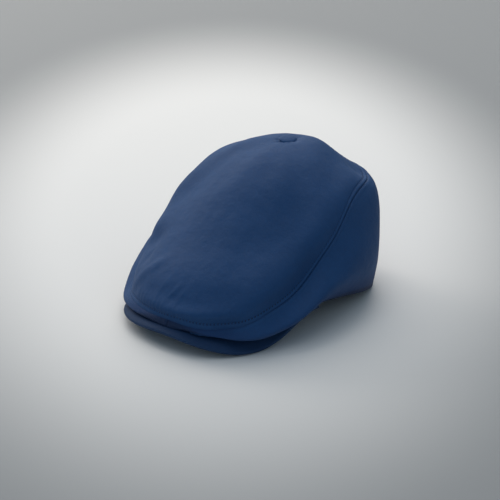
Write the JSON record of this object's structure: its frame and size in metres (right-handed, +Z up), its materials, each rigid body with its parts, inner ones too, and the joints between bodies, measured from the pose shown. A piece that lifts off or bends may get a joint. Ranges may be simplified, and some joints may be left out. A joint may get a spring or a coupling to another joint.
{
  "type": "flat cap",
  "caption": "Flat cap of plain navy cotton twill, with a large top panel, two side panels, a short stiff peak and a covered button on the crown.",
  "frame": {"origin": "on the surface that the cap rests on, under the middle of the cap's box", "axes": "+Z up, -Y towards the peak, where the wearer looks, and +X to the wearer's left"},
  "size_m": [0.196, 0.2432, 0.1364],
  "materials": {
    "cotton_twill": "matte woven cotton twill",
    "peak_twill": "matte woven cotton twill over a stiff board"
  },
  "bodies": {
    "root": {"top_panel": "cotton_twill", "side_panel_left": "cotton_twill", "side_panel_right": "cotton_twill", "peak": "peak_twill", "crown_button": "cotton_twill"}
  },
  "joints": []
}
